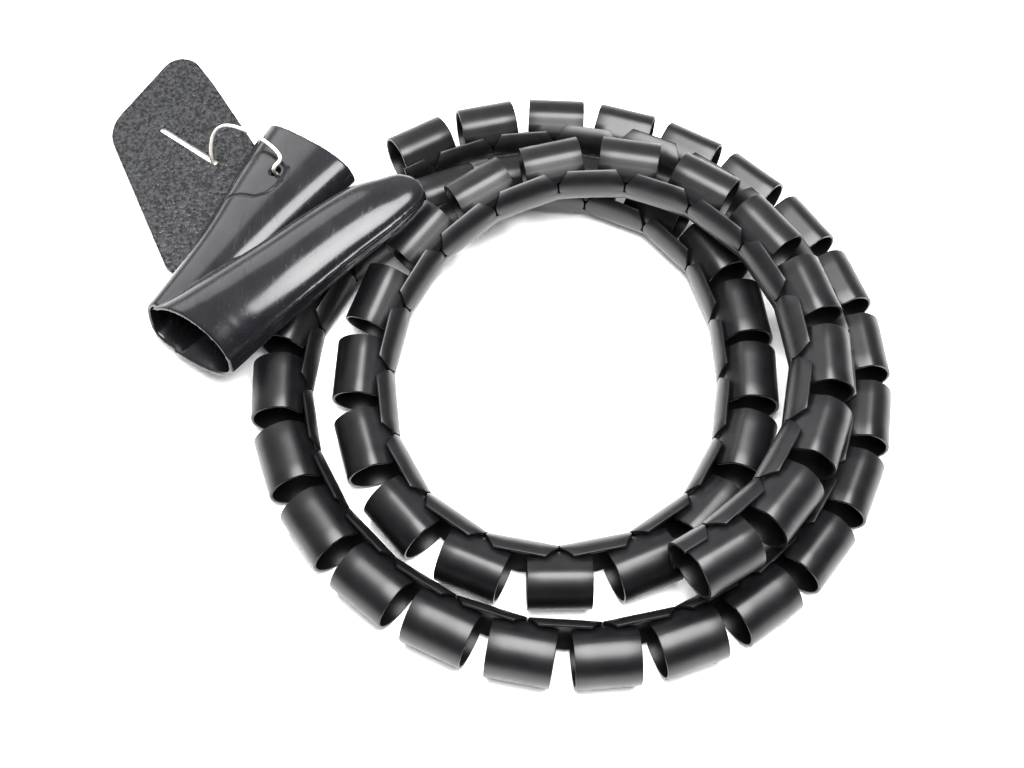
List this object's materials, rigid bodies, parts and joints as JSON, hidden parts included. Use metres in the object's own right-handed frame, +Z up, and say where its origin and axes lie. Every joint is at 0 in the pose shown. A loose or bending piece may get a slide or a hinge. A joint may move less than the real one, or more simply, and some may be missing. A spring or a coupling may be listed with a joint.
{
  "type": "spiral cable wrap",
  "caption": "Coil of slit, ringed plastic tube that wraps round a bundle of cables, with the hollow threading tool that opens it and the tool's tethered handle plate.",
  "frame": {"origin": "centre of the whole object's box at the level of the table it lies on", "axes": "+Z up from the table; +X from the handle plate's side towards the far side of the coil; +Y across, from the tube's end on top towards the tool's funnel"},
  "size_m": [0.3602, 0.3168, 0.0547],
  "materials": {
    "wrap_plastic": "satin black",
    "tool_plastic": "gloss black",
    "plate_plastic": "leather-grained dark grey",
    "galvanised_wire": "galvanised"
  },
  "bodies": {
    "root": {"spiral_wrap": "wrap_plastic", "threading_tool": "tool_plastic", "handle_plate": "plate_plastic", "wire_loop": "galvanised_wire"}
  },
  "joints": []
}
